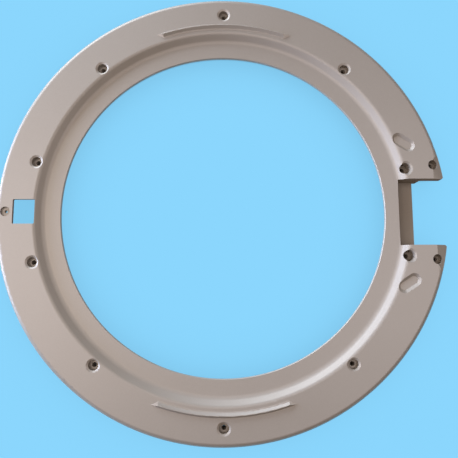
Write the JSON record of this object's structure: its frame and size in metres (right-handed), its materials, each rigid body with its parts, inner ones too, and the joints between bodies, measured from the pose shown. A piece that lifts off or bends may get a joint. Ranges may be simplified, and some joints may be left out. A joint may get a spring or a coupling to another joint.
{
  "type": "washing machine inner door ring",
  "caption": "Moulded inner door ring of a front-loading washing machine: stepped flange round the glass, screw cups, latch window and hinge notch.",
  "frame": {"origin": "on the ring's axis, at the rear edge of the collar that the ring lies on", "axes": "+Z to the drum side, which is the flange's front face, +X to the hinge notch, -X to the latch window"},
  "size_m": [0.3995, 0.402, 0.0243],
  "materials": {
    "satin_paint": "warm silver-grey satin paint on moulded plastic"
  },
  "bodies": {
    "root": {"inner_door_ring": "satin_paint"}
  },
  "joints": []
}
